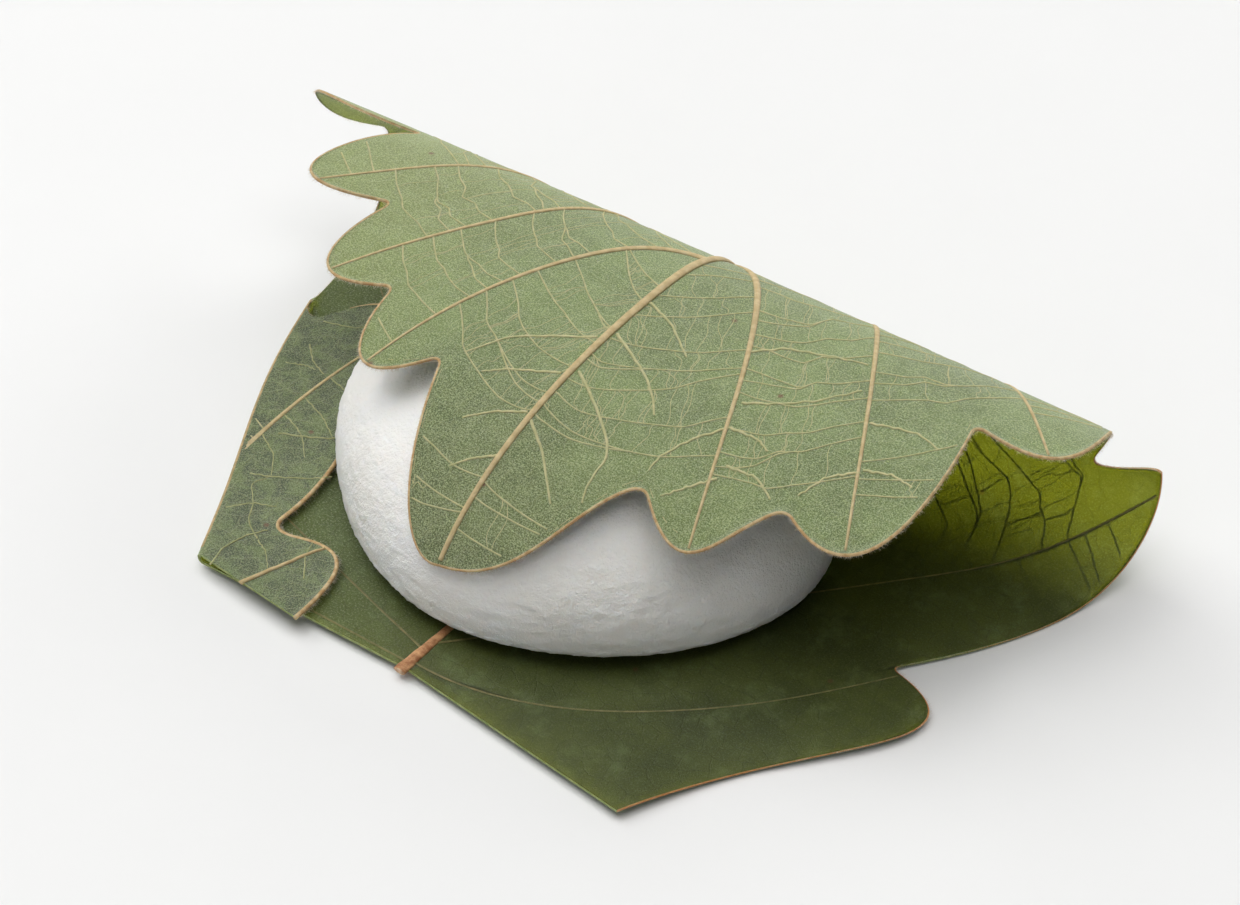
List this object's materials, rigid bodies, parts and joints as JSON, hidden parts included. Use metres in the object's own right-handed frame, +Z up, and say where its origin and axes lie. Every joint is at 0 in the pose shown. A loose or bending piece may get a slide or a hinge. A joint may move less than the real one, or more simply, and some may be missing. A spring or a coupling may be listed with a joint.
{
  "type": "leaf-wrapped rice cake",
  "caption": "Flattened oval rice cake held in a folded oak leaf: one lobed leaf laid flat, rolled up behind the cake and drooping forward over it, with one edge turned in.",
  "frame": {"origin": "centre of the footprint, on the surface the leaf lies on", "axes": "+X along the fold, to the open right end; +Y along the midrib, from the cut base to the fold; +Z up"},
  "size_m": [0.1458, 0.0816, 0.0291],
  "materials": {
    "leaf": "felted pale grey-green underside with tan veins, satin dark green upper side",
    "mochi": "matte, fine-grained, slightly translucent pounded rice"
  },
  "bodies": {
    "root": {"oak_leaf": "leaf", "mochi": "mochi"}
  },
  "joints": []
}
